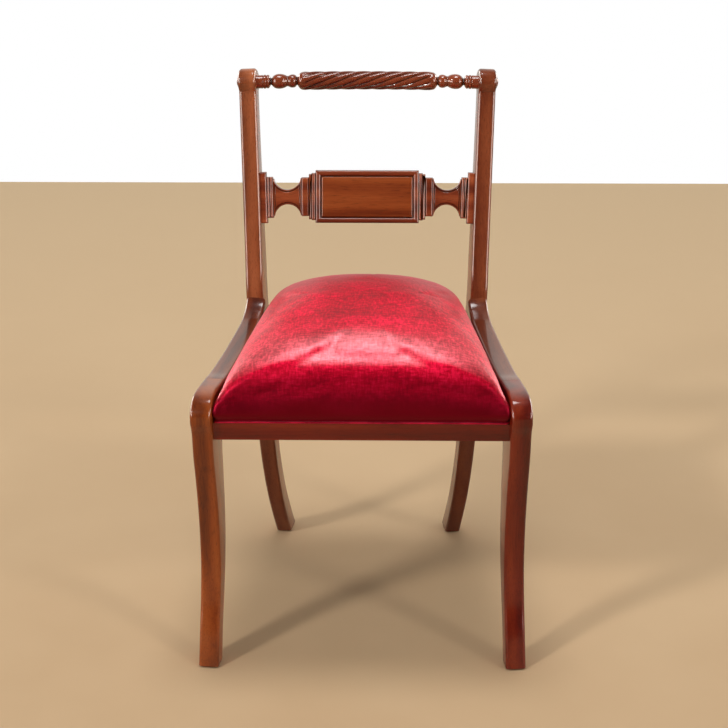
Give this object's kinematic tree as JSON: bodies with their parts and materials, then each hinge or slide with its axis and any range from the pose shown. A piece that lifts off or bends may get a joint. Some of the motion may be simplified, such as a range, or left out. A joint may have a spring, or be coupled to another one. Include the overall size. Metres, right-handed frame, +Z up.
{
  "type": "sabre-leg dining chair",
  "caption": "Sabre-leg mahogany dining chair with raked back uprights, rope-twist crest rail, tablet splat between waisted arms, and a crowned velvet slip seat.",
  "frame": {"origin": "on the floor under the middle of the chair's bounding box", "axes": "+Z up, -Y towards the front of the seat, +X to the right as seen from the front"},
  "size_m": [0.4938, 0.5322, 0.8084],
  "materials": {
    "mahogany_legs": "polished lacquer over reddish mahogany",
    "mahogany_side_rails": "polished lacquer over reddish mahogany",
    "mahogany_uprights": "polished lacquer over reddish mahogany",
    "mahogany_cross_rails": "polished lacquer over reddish mahogany",
    "mahogany_crest": "polished lacquer, dark in the grooves of the twist",
    "mahogany_buttons": "polished lacquer",
    "mahogany_splat": "polished lacquer, dark in the carved lines",
    "mahogany_tablet": "polished lacquer over a moulded border",
    "panel_veneer": "polished figured veneer, lighter than the frame",
    "beech_blocks": "unfinished planed beech",
    "beech_seat_frame": "unfinished planed beech",
    "screw_steel": "zinc plated",
    "glide_nylon": "moulded dark nylon",
    "jute_web": "woven jute webbing",
    "hessian": "coarse woven hessian",
    "seat_foam": "open-cell upholstery foam",
    "velvet": "crimson pile velvet with a strong sheen",
    "cambric": "black woven dust cloth"
  },
  "bodies": {
    "root": {"front_leg_left": "mahogany_legs", "front_leg_right": "mahogany_legs", "side_rail_left": "mahogany_side_rails", "side_rail_right": "mahogany_side_rails", "back_upright_left": "mahogany_uprights", "back_upright_right": "mahogany_uprights", "front_rail": "mahogany_cross_rails", "rear_rail": "mahogany_cross_rails", "crest_rail": "mahogany_crest", "crest_button_left": "mahogany_buttons", "crest_button_right": "mahogany_buttons", "splat_arm_left": "mahogany_splat", "splat_arm_right": "mahogany_splat", "splat_tablet": "mahogany_tablet", "splat_panel": "panel_veneer", "corner_block_front_left": "beech_blocks", "corner_block_front_right": "beech_blocks", "corner_block_rear_left": "beech_blocks", "corner_block_rear_right": "beech_blocks", "block_screw_front_rail_left": "screw_steel", "block_screw_front_rail_right": "screw_steel", "block_screw_front_side_left": "screw_steel", "block_screw_front_side_right": "screw_steel", "block_screw_rear_rail_left": "screw_steel", "block_screw_rear_rail_right": "screw_steel", "block_screw_rear_side_left": "screw_steel", "block_screw_rear_side_right": "screw_steel", "seat_screw_front_left": "screw_steel", "seat_screw_front_right": "screw_steel", "seat_screw_rear_left": "screw_steel", "seat_screw_rear_right": "screw_steel", "glide_front_left": "glide_nylon", "glide_front_right": "glide_nylon", "glide_rear_left": "glide_nylon", "glide_rear_right": "glide_nylon", "seat_frame_side_left": "beech_seat_frame", "seat_frame_side_right": "beech_seat_frame", "seat_frame_front": "beech_seat_frame", "seat_frame_rear": "beech_seat_frame", "web_long_1": "jute_web", "web_long_2": "jute_web", "web_long_3": "jute_web", "web_long_4": "jute_web", "web_cross_1": "jute_web", "web_cross_2": "jute_web", "web_cross_3": "jute_web", "hessian": "hessian", "seat_pad": "seat_foam", "velvet_cover": "velvet", "dust_cover": "cambric"}
  },
  "joints": []
}
